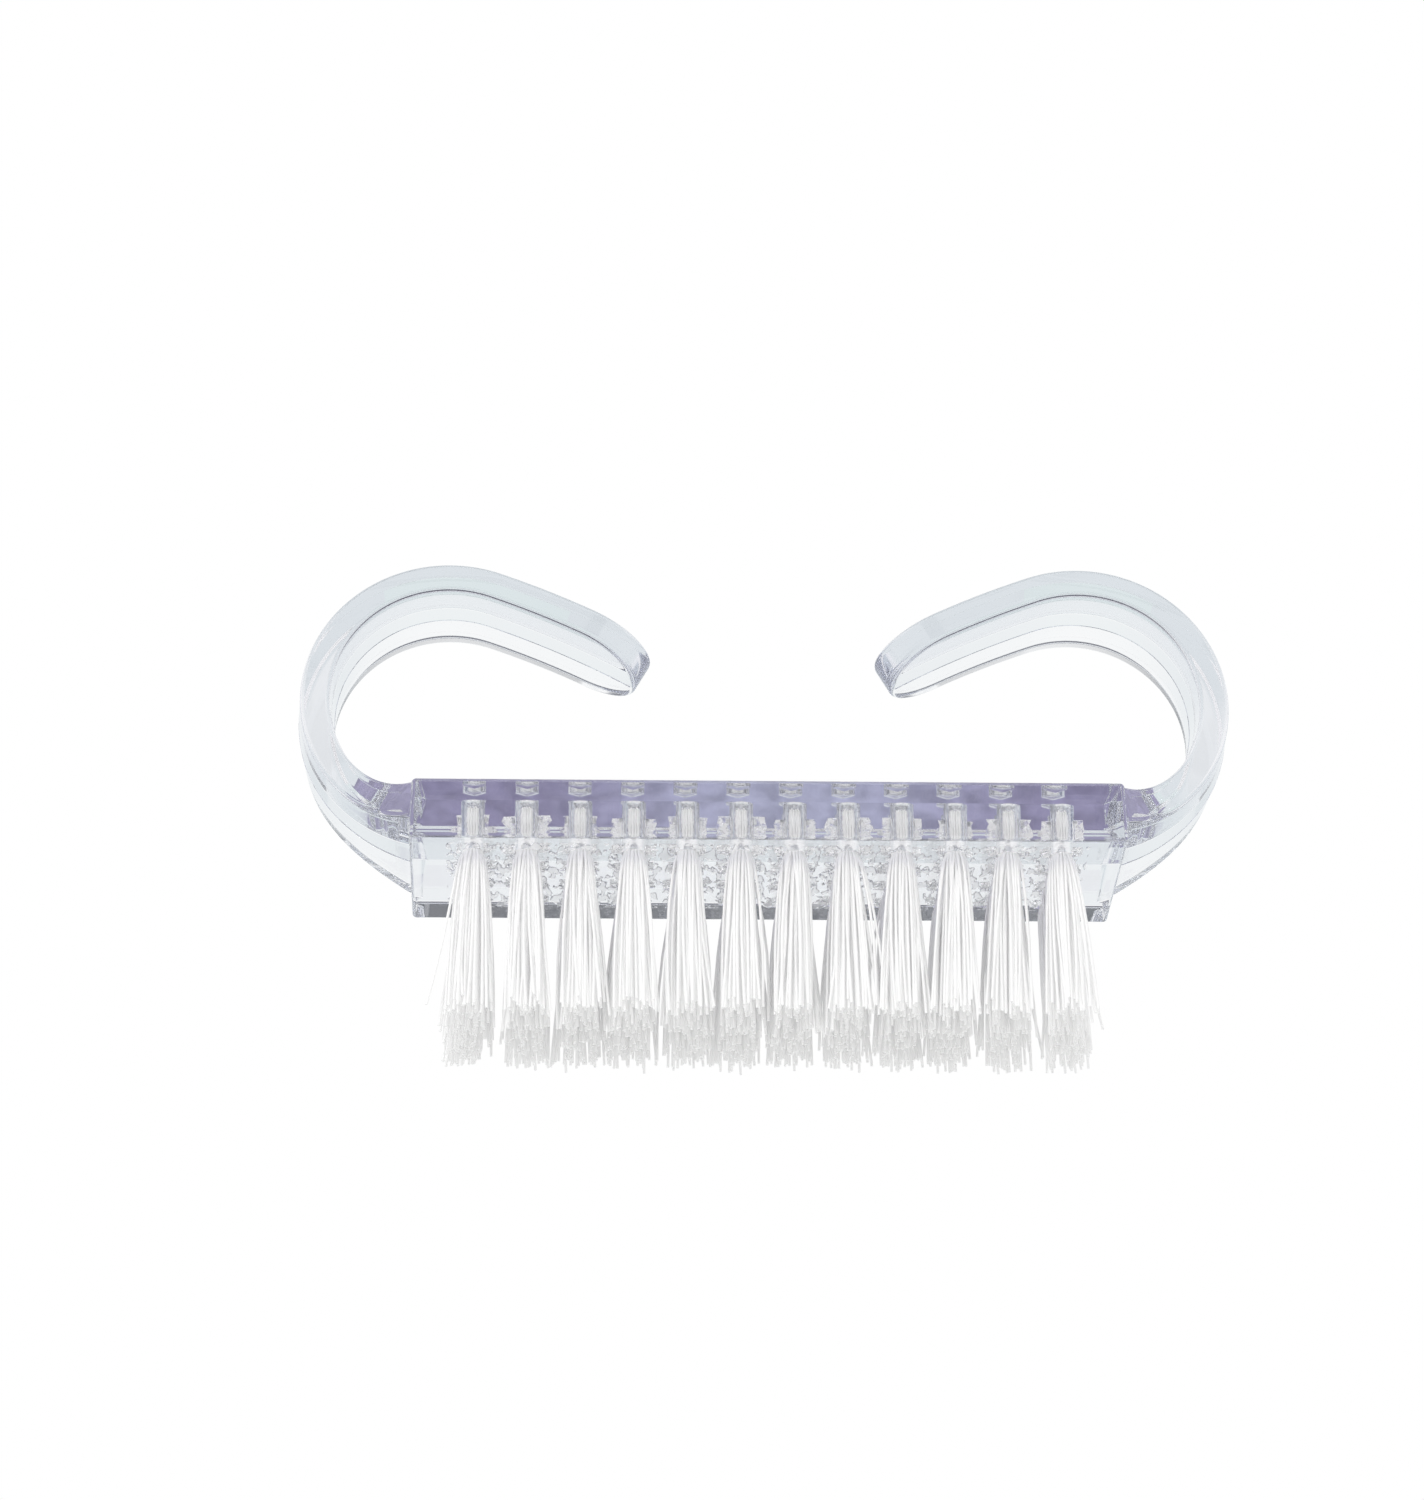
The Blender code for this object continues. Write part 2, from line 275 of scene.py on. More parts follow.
def outline():
    """The unrolled plate's edge: s, half width w, and the angle of its outward normal, which is
    atan(-dw/ds) along the side and turns by 90 degrees round the semicircular end."""
    end = 0.5 * HOOK_WIDTH
    side = np.linspace(0.0, HOOK_LENGTH - end, SIDE_STATIONS)
    half = 0.5 * (HOOK_WIDTH + (ROOT_WIDTH - HOOK_WIDTH) * near_root(side)[1] ** 2)
    turn = np.linspace(0.0, 0.5 * math.pi, END_STATIONS)[1:]
    s = np.concatenate([side, HOOK_LENGTH - end + end * np.sin(turn)])
    w = np.concatenate([half, end * np.cos(turn)])
    return s, w, np.concatenate([np.arctan(-np.gradient(half, side)), turn])


print("outline:", len(outline()[0]), "stations, widest", round(2e3 * outline()[1].max(), 2), "mm")

# %% [markdown]
# ## The hook's section
# Across its width a hook is thickest at the parting line, because each mould half has its own
# draft of 3 degrees. A thin bead of plastic stands on that line, where the mould halves meet.
# In clear plastic it draws a fine line along the hook, so it is real geometry and not a bump.

# %% Hook surface
BEAD_HIGH, BEAD_HALF = 0.03 * MM, 0.06 * MM
BEAD_PLACES = np.array([0.0, 0.5, 1.0, 1.4]) * BEAD_HALF
BEAD_RISES = np.array([BEAD_HIGH, 0.5 * BEAD_HIGH, 0.0, 0.0])


def hook_rings():
    """Around each station: outer face, rim, side, rim, inner face, and back on the other side.
    A rim point at angle t lies r (1 - sin t) inside the outline and r (1 - cos t) below the
    face, and the face drops by |w| tan(draft) from the middle, where the bead stands on it."""
    s, w, lean = (value[:, None] for value in outline())
    thick = 0.5 * (HOOK_THICKNESS + (ROOT_THICKNESS - HOOK_THICKNESS) * near_root(s)[1] ** 2)
    room = np.maximum(w - EDGE_ROUND * np.cos(lean), 0.0)
    on_bead = np.minimum(BEAD_PLACES, 0.5 * room * BEAD_PLACES / BEAD_PLACES[-1])
    face = np.hstack([on_bead, 0.5 * room, 0.99 * room])
    inset = np.append(EDGE_ROUND * (1.0 - np.sin(ROUNDING)), 0.0)
    under = np.append(EDGE_ROUND * (1.0 - np.cos(ROUNDING)), EDGE_ROUND + BESIDE)
    on_face = np.broadcast_to(s - EDGE_ROUND * np.sin(lean), face.shape)
    along = np.hstack([on_face, s - inset * np.sin(lean)])
    across = np.hstack([face, w - inset * np.cos(lean)])
    out = thick - across * HOOK_DRAFT + np.concatenate([BEAD_RISES, [0.0, 0.0], -under])
    along = np.hstack([along, along[:, ::-1]])
    across = np.hstack([across, across[:, ::-1]])
    out = np.hstack([out, -out[:, ::-1] - ROOT_FILLET * near_root(s)[0]])
    along = np.hstack([along, along[:, -2:0:-1]])
    across = np.hstack([across, -across[:, -2:0:-1]])
    out = np.hstack([out, out[:, -2:0:-1]])
    points, normals = middle_line(along)
    bent = points + normals * out[..., None]
    return np.stack([bent[..., 0], across, bent[..., 1]], -1)


hook = hook_rings()
print("hook grid:", hook.shape, "reaches x", hook[..., 0].max(), "and z", hook[..., 2].max())

# %% [markdown]
# ## The drilled holes
# After moulding, 4 rows of 12 holes are drilled into the bristle face, 3.25 mm deep, with the
# blunt cone that a drill leaves. We make the drills, and cut the moulding with them later.

# %% Hole places and drills
HOLE_RADIUS, HOLE_DEPTH, DRILL_POINT = 0.83 * MM, 3.25 * MM, 0.25 * MM
COLUMNS, ROWS, COLUMN_PITCH, ROW_PITCH = 12, 4, 3.68 * MM, 3.0495 * MM
hole_x = (np.arange(COLUMNS) - 0.5 * (COLUMNS - 1)) * COLUMN_PITCH
hole_y = (np.arange(ROWS) - 0.5 * (ROWS - 1)) * ROW_PITCH
holes = np.stack(np.meshgrid(hole_x, hole_y), -1).reshape(-1, 2)


def drill_rings(sides=24):
    """Each drill is a circle of the hole's radius, carried up from below the face to the full
    depth, where it shrinks to the point."""
    around = np.linspace(0.0, 2.0 * math.pi, sides, endpoint=False)
    radius = np.array([HOLE_RADIUS, HOLE_RADIUS, 0.0])
    height = BRISTLE_LENGTH + np.array([-HOLE_RADIUS, HOLE_DEPTH, HOLE_DEPTH + DRILL_POINT])
    ring = np.stack([np.cos(around), np.sin(around)], -1)
    flat = holes[:, None, None] + radius[:, None, None] * ring
    high = np.broadcast_to(height[:, None], flat.shape[:-1])
    return np.concatenate([flat, high[..., None]], -1)


print("holes:", len(holes), "drill grids:", drill_rings().shape)

# %% [markdown]
# ## The ploughed grooves
# The anchor wire of each tuft is longer than its hole is wide, so where the machine drives it
# in, it ploughs a thin ragged groove into the plastic on both sides, from the mouth up to where
# it stops. The wires lie along the brush, each turned by a few degrees. A groove is cut as a
# flat ellipse across the hole, whose reach wanders on its way up.

# %% Grooves
ANCHOR_MIDDLE = 1.95 * MM
GROOVE_STATIONS = np.array([-0.15, 0.12, 0.3, 0.48, 0.66, 0.84, 1.0])
rng = np.random.default_rng(5)
anchor_turns = rng.normal(0.0, math.radians(7.0), len(holes))


def turned(flat, turns):
    """The points (x, y) of each body turned about its own middle by its anchor's angle."""
    c, s = np.cos(turns)[:, None, None], np.sin(turns)[:, None, None]
    x, y = flat[..., 0], flat[..., 1]
    return np.stack([c * x - s * y, s * x + c * y], -1)


def groove_rings(sides=14):
    """Each groove is the ellipse (reach cos t, thin sin t) in mm, carried up from just below the
    face. Its reach wanders from station to station, and it is half as thin at the last one."""
    t = (np.arange(sides) + 0.5) / sides * 2.0 * math.pi
    each, every = (len(holes), 1), (len(holes), len(GROOVE_STATIONS))
    reach = rng.uniform(1.15, 1.65, each) + rng.normal(0.0, 0.10, every)
    thin = rng.uniform(0.13, 0.19, every) * np.where(GROOVE_STATIONS > 0.9, 0.5, 1.0)
    flat = np.stack([reach[..., None] * np.cos(t), thin[..., None] * np.sin(t)], -1) * MM
    flat = turned(flat, anchor_turns) + holes[:, None, None]
    top = ANCHOR_MIDDLE + rng.uniform(0.15, 0.4, each) * MM
    high = np.broadcast_to((BRISTLE_LENGTH + top * GROOVE_STATIONS)[..., None], flat.shape[:-1])
    return np.concatenate([flat, high[..., None]], -1)


grooves = groove_rings()
print("groove grids:", grooves.shape, "the highest ends at z", grooves[..., 2].max())

# %% [markdown]
# ## Clear styrene
# The moulding is general purpose polystyrene, a glassy plastic, injection moulded in a polished
# tool. Only the drilled places are not polished: the walls of the holes, and the face round
# their mouths, where the drill has chipped it. A painted mask would need a UV map, so we ask
# where the surface lies. One box in object space takes in all the holes' walls, and a second one
# is as thin as the face itself. The chips stop short of the face's far edge, as in the picture.

# %% Where the drill has been
def inside_box(tree, axes, low, high):
    """1 inside the box and 0 outside: on each axis, whether |value - middle| <= half width."""
    product = None
    for k, axis in enumerate("XYZ"):
        middle, half = 0.5 * (low[k] + high[k]), 0.5 * (high[k] - low[k])
        test = add_node(tree, "ShaderNodeMath", {"operation": "COMPARE"},
                        {1: middle, 2: half}, {0: (axes, axis)})
        if product is not None:
            test = add_node(tree, "ShaderNodeMath", {"operation": "MULTIPLY"}, None,
                            {0: (product, 0), 1: (test, 0)})
        product = test
    return product


FACE_SKIN = 0.02 * MM
clear_styrene, styrene_output = new_material("clear_moulded_styrene")
tree = clear_styrene.node_tree
place = add_node(tree, "ShaderNodeTexCoord")
axes = add_node(tree, "ShaderNodeSeparateXYZ", None, None, {"Vector": (place, "Object")})
reach_x, reach_y = hole_x[-1] + HOLE_RADIUS, hole_y[-1] + HOLE_RADIUS
walls = inside_box(
    tree, axes, (-reach_x - MM, -reach_y - 0.3 * MM, BRISTLE_LENGTH + FACE_SKIN),
    (reach_x + MM, reach_y + 0.3 * MM, BRISTLE_LENGTH + 3.4 * MM))
mouths = inside_box(
    tree, axes, (-reach_x - MM, -reach_y - MM, BRISTLE_LENGTH - FACE_SKIN),
    (reach_x + MM, reach_y - 0.2 * MM, BRISTLE_LENGTH + FACE_SKIN))
print("drilled area:", [round(2e3 * reach, 2) for reach in (reach_x, reach_y)], "mm")

# %% [markdown]
# ## Relief of the drilled places
# Thousands of tiny chips would be too many faces, so noise gives them as bump. The walls get a
# grain of 0.05 mm, which blurs what is seen through them, and tears of 0.3 mm. The face gets
# chips about 0.25 mm wide. They are drawn 0.6 mm long along Y, longer than real ones, because
# the picture looks along that direction at a low angle and would lose shorter ones.

# %% Relief
GRAIN_PER_MM, TEARS_PER_MM, CHIPS_PER_MM = 20.0, 3.2, (1.9, 0.8, 1.9)
GRAIN_DEEP, TEARS_DEEP, CHIPS_DEEP = 0.005 * MM, 0.02 * MM, 0.14 * MM
grain = add_node(tree, "ShaderNodeTexNoise", None, {"Scale": GRAIN_PER_MM / MM, "Detail": 1.0},
                 {"Vector": (place, "Object")})
rough_walls = add_node(tree, "ShaderNodeMath", {"operation": "MULTIPLY"}, None,
                       {0: (walls, 0), 1: (grain, "Fac")})
torn = add_node(tree, "ShaderNodeTexNoise", None, {"Scale": TEARS_PER_MM / MM, "Detail": 1.0},
                {"Vector": (place, "Object")})
torn_walls = add_node(tree, "ShaderNodeMath", {"operation": "MULTIPLY"}, None,
                      {0: (walls, 0), 1: (torn, "Fac")})
long_chips = add_node(tree, "ShaderNodeMapping", None,
                      {"Scale": tuple(count / MM for count in CHIPS_PER_MM)},
                      {"Vector": (place, "Object")})
chips = add_node(tree, "ShaderNodeTexNoise", None, {"Scale": 1.0, "Detail": 1.0},
                 {"Vector": (long_chips, "Vector")})
chipped = add_node(tree, "ShaderNodeMapRange", {"interpolation_type": "SMOOTHSTEP"},
                   {"From Min": 0.52, "From Max": 0.60}, {"Value": (chips, "Fac")})
rough_mouths = add_node(tree, "ShaderNodeMath", {"operation": "MULTIPLY"}, None,
                        {0: (mouths, 0), 1: (chipped, "Result")})
relief = add_node(tree, "ShaderNodeBump", None, {"Strength": 1.0, "Distance": GRAIN_DEEP},
                  {"Height": (rough_walls, 0)})
for height, deep in ((torn_walls, TEARS_DEEP), (rough_mouths, CHIPS_DEEP)):
    relief = add_node(tree, "ShaderNodeBump", None, {"Strength": 1.0, "Distance": deep},
                      {"Height": (height, 0), "Normal": (relief, "Normal")})
print("chips are about", [round(0.5 / count, 2) for count in CHIPS_PER_MM], "mm")

# %% [markdown]
# ## Crushed plastic
# Where the wire has ploughed through it, the plastic is full of fine cracks, and cracks scatter
# light, so it is white and matt there. That is true of the walls that lie further from a hole's
# middle than its radius. WRAP repeats X and Y with the pitch of the holes, so one distance
# serves all 48. Noise leaves clear patches of 0.2 mm, and the chips are a third as white.

# %% Crushed plastic
CRUSHED_PER_MM = 2.5
across = [add_node(tree, "ShaderNodeMath", {"operation": "WRAP"}, {1: pitch, 2: 0.0},
                   {0: (axes, axis)})
          for axis, pitch in (("X", COLUMN_PITCH), ("Y", ROW_PITCH))]
from_hole = add_node(tree, "ShaderNodeCombineXYZ", None, None,
                     {"X": (across[0], 0), "Y": (across[1], 0)})
from_hole = add_node(tree, "ShaderNodeVectorMath", {"operation": "DISTANCE"},
                     {1: (0.5 * COLUMN_PITCH, 0.5 * ROW_PITCH, 0.0)}, {0: (from_hole, "Vector")})
beyond = add_node(tree, "ShaderNodeMath", {"operation": "GREATER_THAN"},
                  {1: HOLE_RADIUS + 0.03 * MM}, {0: (from_hole, "Value")})
cracks = add_node(tree, "ShaderNodeTexNoise", None, {"Scale": CRUSHED_PER_MM / MM, "Detail": 2.0},
                  {"Vector": (place, "Object")})
crushed = add_node(tree, "ShaderNodeMapRange", None,
                   {"From Min": 0.40, "From Max": 0.56, "To Max": 0.95},
                   {"Value": (cracks, "Fac")})
for mask in (beyond, walls):
    crushed = add_node(tree, "ShaderNodeMath", {"operation": "MULTIPLY"}, None,
                       {0: (crushed, 0), 1: (mask, 0)})
crushed = add_node(tree, "ShaderNodeMath", {"operation": "MULTIPLY_ADD"}, {1: 0.3},
                   {0: (rough_mouths, 0), 2: (crushed, 0)})
whitened = add_node(tree, "ShaderNodeBsdfPrincipled", None, {
    "Base Color": linear("#FCFCFD"), "Roughness": 0.5}, {"Normal": (relief, "Normal")})
print("styrene nodes so far:", len(tree.nodes))

# %% [markdown]
# ## Light in the moulding
# Polystyrene has a high index, 1.59, and that is what draws the dark and bright lines at its
# edges. Its faint violet-blue tone deepens with the way that light travels inside, so it is an
# absorption in the volume and not a colour of the surface: 1 cm takes away 8% of the red and
# the green, and 5% of the blue.
#
# Lamps would not reach the white bundles inside solid glass, because a straight shadow ray
# can't bend, so the shader lets shadow rays pass. It holds many of them back at the bristle
# face, since light that comes down through the block is totally reflected there. That is what
# shades the roots of the tufts.

# %% Clear styrene
TONE, TONE_PER_METRE = (0.38, 0.41, 0.60), 14.0
glass = add_node(tree, "ShaderNodeBsdfPrincipled", None, {
    "Base Color": linear("#FFFFFF"), "Roughness": 0.0, "IOR": 1.59, "Transmission Weight": 1.0},
    {"Normal": (relief, "Normal")})
plastic = add_node(tree, "ShaderNodeMixShader", None, None, {
    "Fac": (crushed, 0), 1: (glass, "BSDF"), 2: (whitened, "BSDF")})
path = add_node(tree, "ShaderNodeLightPath")
under_face = add_node(tree, "ShaderNodeMath", {"operation": "COMPARE"},
                      {1: BRISTLE_LENGTH, 2: FACE_SKIN}, {0: (axes, "Z")})
passing = add_node(tree, "ShaderNodeMix", {"data_type": "RGBA"}, {
    "A": (1.0, 1.0, 1.0, 1.0), "B": (0.42, 0.42, 0.60, 1.0)}, {"Factor": (under_face, 0)})
open_way = add_node(tree, "ShaderNodeBsdfTransparent", None, None, {"Color": (passing, "Result")})
mix = add_node(tree, "ShaderNodeMixShader", None, None, {
    "Fac": (path, "Is Shadow Ray"), 1: (plastic, "Shader"), 2: (open_way, "BSDF")})
absorbed = add_node(tree, "ShaderNodeVolumeAbsorption", None,
                    {"Color": (*TONE, 1.0), "Density": TONE_PER_METRE})
tree.links.new(mix.outputs["Shader"], styrene_output.inputs["Surface"])
tree.links.new(absorbed.outputs["Volume"], styrene_output.inputs["Volume"])
left = [round(math.exp(-10.0 * MM * TONE_PER_METRE * (1.0 - share)), 2) for share in TONE]
print("light left after 10 mm of styrene, red, green and blue:", left)

# %% [markdown]
# ## Joining and drilling
# The bar and the two hooks are one moulding, so their surfaces have to become one skin: light
# must not meet a wall where a hook enters the bar. Boolean modifiers join and drill them.
#
# A boolean leaves long thin faces beside the roundings, and smooth shading would tilt the
# normals of the flats towards them. In clear plastic that shows as slanting streaks. A Weighted
# Normal modifier lets the largest faces rule, so the flats stay optically flat.

# %% Joining and cutting
SOLVER = "EXACT"


def with_booleans(obj, steps):
    """Joins or cuts obj with other objects, one after another, and keeps the resulting mesh."""
    for operation, other in steps:
        step = obj.modifiers.new(operation.lower(), "BOOLEAN")
        step.operation, step.solver, step.object = operation, SOLVER, other
    depsgraph = bpy.context.evaluated_depsgraph_get()
    mesh = bpy.data.meshes.new_from_object(obj.evaluated_get(depsgraph))
    obj.modifiers.clear()
    for _operation, other in steps:
        bpy.data.objects.remove(other)
    obj.data = mesh
    return obj


print("booleans use the solver", SOLVER)

# %% Make the moulding
MIRRORED = (-1.0, 1.0, 1.0)
moulding = piece("clear_body", skin("clear_body", bar), clear_styrene)
right_hook = piece("right_hook", skin("right_hook", hook, True, False))
left_hook = piece("left_hook", skin("left_hook", hook * MIRRORED, True, False))
drills = piece("drills", skin("drills", drill_rings(), True, False))
ploughed = piece("grooves", skin("grooves", grooves))
with_booleans(moulding, [("UNION", right_hook), ("UNION", left_hook), ("DIFFERENCE", drills),
                         ("DIFFERENCE", ploughed)])
moulding.data.shade_smooth()
moulding.data.set_sharp_from_angle(angle=math.radians(35.0))
flat_normals = moulding.modifiers.new("flat_normals", "WEIGHTED_NORMAL")
flat_normals.keep_sharp = True
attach(moulding, "root")
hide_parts("brush_body")
print("moulding:", len(moulding.data.polygons), "faces,", [m.name for m in moulding.data.materials])

# %% [markdown]
# ## The anchor wires
# A tuft is held by a short flat wire that the machine drives across the hole, over the fold of
# the bundle. Its two ends bite into the plastic. It is a round wire rolled flat, so its narrow
# sides stay round, and its ends are pinched where they were sheared. A beveled curve could give
# one such wire, but a formula gives all 48 at once.

# %% Anchor wire surface
ANCHOR_HIGH, ANCHOR_THICK, ANCHOR_HALF = 0.40 * MM, 0.18 * MM, 1.05 * MM
FLATNESS = 0.667


def anchor_rings():
    """Each wire is a flattened oval, |y / a| ** 3 + |z / b| ** 3 = 1, carried along X, whose ends
    shrink a little where they were sheared. It is turned with its groove."""
    t = np.linspace(0.0, 2.0 * math.pi, 12, endpoint=False)
    along = np.array([-1.0, -0.94, 0.94, 1.0]) * ANCHOR_HALF
    size = np.array([0.6, 1.0, 1.0, 0.6])[:, None]
    thick = size * np.sign(np.cos(t)) * abs(np.cos(t)) ** FLATNESS * 0.5 * ANCHOR_THICK
    high = size * np.sign(np.sin(t)) * abs(np.sin(t)) ** FLATNESS * 0.5 * ANCHOR_HIGH
    flat = np.stack(np.broadcast_arrays(along[:, None], thick), -1)
    flat = turned(np.broadcast_to(flat, (len(holes), *flat.shape)), anchor_turns)
    flat = flat + holes[:, None, None]
    high = np.broadcast_to(high + BRISTLE_LENGTH + ANCHOR_MIDDLE, flat.shape[:-1])
    return np.concatenate([flat, high[..., None]], -1)


print("anchor wire grids:", anchor_rings().shape)

# %% [markdown]
# ## Steel wire
# The wire is bright steel, drawn through a die and rolled flat. Drawing leaves fine lines along
# it. Real ones are a few hundredths of a millimetre apart. They are drawn 0.1 mm apart here, as
# coarse as they need to be to break the shine up.

# %% Steel wire
LINES_PER_MM = (0.4, 9.0, 9.0)
steel_wire, steel_output = new_material("sheared_flat_steel_wire")
tree = steel_wire.node_tree
place = add_node(tree, "ShaderNodeTexCoord")
drawn = add_node(tree, "ShaderNodeMapping", None,
                 {"Scale": tuple(count / MM for count in LINES_PER_MM)},
                 {"Vector": (place, "Object")})
lines = add_node(tree, "ShaderNodeTexNoise", None, {"Scale": 1.0, "Detail": 2.0},
                 {"Vector": (drawn, "Vector")})
sheen = add_node(tree, "ShaderNodeMapRange", None, {"To Min": 0.25, "To Max": 0.45},
                 {"Value": (lines, "Fac")})
steel = add_node(tree, "ShaderNodeBsdfPrincipled", None, {
    "Base Color": linear("#C9C9CC"), "Metallic": 1.0}, {"Roughness": (sheen, "Result")})
tree.links.new(steel.outputs["BSDF"], steel_output.inputs["Surface"])
print("steel wire:", len(tree.nodes), "nodes")

# %% Make the wires
wires = piece("anchor_wires", skin("anchor_wires", anchor_rings()), steel_wire)
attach(wires, "root")
print("anchor wires:", len(holes), "faces", len(wires.data.polygons))

# %% [markdown]
# ## The tufts
# A tuft is a bundle of 0.2 mm nylon filaments, folded in half over the anchor wire. Both legs
# of each filament come out of the mouth, lean outwards because the bundle is squeezed there,
# and are trimmed flat. Blender's hair would look alike, but it leaves no solid piece behind. We
# place the filaments on a hexagonal grid, carry each one up, over the wire and down again, and
# sweep a small five-sided tube along all the paths at once.

# %% Filament places
FILAMENT, PACKING = 0.20 * MM, 0.205 * MM


def packed_places():
    """Places (x, a) of the legs on one side of the wire: a hexagonal grid in half a disc. Rows
    are sqrt(3/4) of a pitch apart, and every other row is shifted by half a pitch."""
    row, column = np.meshgrid(np.arange(4), np.arange(-4, 5), indexing="ij")
    a = (0.5 + row * math.sqrt(0.75)) * PACKING
    x = (column + 0.5 * (row % 2)) * PACKING
    inside = np.hypot(x, a) <= HOLE_RADIUS - 0.5 * FILAMENT + 0.03 * MM
    return x[inside], a[inside]


print("filaments folded in a tuft:", len(packed_places()[0]))

# %% Filament sizes
SHARE = np.array([1.0, 0.8, 0.55, 0.32, 0.15, 0.05, 0.0, 0.0, 0.0])
ABOVE = np.array([0.0] * 7 + [ANCHOR_MIDDLE - 0.6 * MM, ANCHOR_MIDDLE - 0.2 * MM])
OPENED = np.array([0.0] * 8 + [1.0])
WIRE_ROOM, WALL_ROOM = 0.10 * MM, 0.01 * MM
LOWEST_FOLD, FOLD_SLOPE = 0.28 * MM, 1.15
TRIM_ERROR, STRAY, BOW = 0.9 * MM, 0.27 * MM, 0.12 * MM
print("points along a leg:", len(SHARE))


# %% Filament paths
def filament_paths(rng, lean, shorter, loose):
    """Paths of one tuft's filaments from tip to tip, about the middle of the hole's mouth. Below
    the mouth a leg's place grows with the 0.45th power of the share of its length. Above it
    the leg climbs straight, opens for the wire, and goes over it in half an ellipse, higher for
    the outer filaments. Each leg strays at its tip, bows as sin(pi share) and is trimmed a
    little differently, and a few, as many as loose says, stand out sideways."""
    x, a = packed_places()
    count, steps = len(x), len(SHARE)
    spread = SHARE ** 0.45
    tip, wave = SHARE ** 0.9, np.sin(math.pi * SHARE)
    turn = np.linspace(0.0, math.pi, 5)
    paths = np.zeros((count, 2 * steps + len(turn), 3))
    rise = LOWEST_FOLD + FOLD_SLOPE * np.hypot(x, a)
    paths[:, steps:-steps, 0] = x[:, None]
    paths[:, steps:-steps, 1] = -(a + WIRE_ROOM)[:, None] * np.cos(turn)
    paths[:, steps:-steps, 2] = ANCHOR_MIDDLE + rise[:, None] * np.sin(turn)
    for side, legs in ((-1.0, slice(0, steps)), (1.0, slice(None, -steps - 1, -1))):
        length = BRISTLE_LENGTH - shorter - rng.uniform(0.0, 1.0, count) ** 2 * TRIM_ERROR
        stray = rng.normal(0.0, STRAY, (2, count))
        far = (rng.random(count) < loose) * rng.uniform(-0.3, 1.0, count) * MM
        bow = rng.normal(0.0, BOW, (2, count))
        paths[:, legs, 0] = (x[:, None] * (1.0 + 1.3 * spread) + bow[0][:, None] * wave
                             + (lean[0] + stray[0] + np.sign(lean[0]) * far)[:, None] * tip)
        paths[:, legs, 1] = (side * (a[:, None] * (1.0 + 1.0 * spread) + WIRE_ROOM * OPENED)
                             + bow[1][:, None] * wave + (lean[1] + stray[1])[:, None] * tip)
        paths[:, legs, 2] = ABOVE - length[:, None] * SHARE
    reach = np.hypot(paths[..., 0], paths[..., 1])
    held = np.minimum(1.0, (HOLE_RADIUS - 0.5 * FILAMENT - WALL_ROOM) / reach)
    paths[..., :2] *= np.where(paths[..., 2] >= 0.0, held, 1.0)[..., None]
    return paths


straight = filament_paths(np.random.default_rng(1), (0.0, 0.0), 0.0, 0.0)
print("points along a filament:", straight.shape[1], "the fold's top:", straight[..., 2].max())


# %% Tubes along the paths
TUBE_SIDES = 5


def tube_rings(paths, radius, sides):
    """Rings square to each path: centre + radius (cos t first + sin t second), where second is
    the tangent crossed with X, and first is second crossed with the tangent."""
    tangent = np.gradient(paths, axis=-2)
    tangent /= np.linalg.norm(tangent, axis=-1, keepdims=True)
    second = np.cross(tangent, (1.0, 0.0, 0.0))
    second /= np.linalg.norm(second, axis=-1, keepdims=True)
    first = np.cross(second, tangent)
    t = np.linspace(0.0, 2.0 * math.pi, sides, endpoint=False)[:, None]
    ring = np.cos(t) * first[..., None, :] + np.sin(t) * second[..., None, :]
    return paths[..., None, :] + radius * ring


print("tube grid of one tuft:", tube_rings(straight, 0.5 * FILAMENT, TUBE_SIDES).shape)

# %% [markdown]
# ## White nylon
# The filaments are nylon 6, extruded with a little white pigment, so they are bright, with a
# soft shine along their length. Each differs a little in tone: the noise changes over 0.25 mm
# across, about one filament, and over 4 mm along.

# %% White nylon
TONES_PER_MM = (4.0, 4.0, 0.25)
white_nylon, nylon_output = new_material("white_extruded_nylon")
tree = white_nylon.node_tree
place = add_node(tree, "ShaderNodeTexCoord")
drawn = add_node(tree, "ShaderNodeMapping", None,
                 {"Scale": tuple(count / MM for count in TONES_PER_MM)},
                 {"Vector": (place, "Object")})
streak = add_node(tree, "ShaderNodeTexNoise", None, {"Scale": 1.0, "Detail": 2.0},
                  {"Vector": (drawn, "Vector")})
tone = add_node(tree, "ShaderNodeMix", {"data_type": "RGBA"},
                {"A": linear("#FCFCFC"), "B": linear("#FFFFFF")}, {"Factor": (streak, "Fac")})
nylon = add_node(tree, "ShaderNodeBsdfPrincipled", None, {
    "Roughness": 0.35, "IOR": 1.53}, {"Base Color": (tone, "Result")})
tree.links.new(nylon.outputs["BSDF"], nylon_output.inputs["Surface"])
print("white nylon:", len(tree.nodes), "nodes")

# %% [markdown]
# ## Setting the tufts
# No two tufts are alike: each leans its own way. In the picture the last column splays outwards
# and sheds some loose filaments, the first one does so a little, and the front row is trimmed
# slightly shorter. One seeded generator makes the same brush on every run.

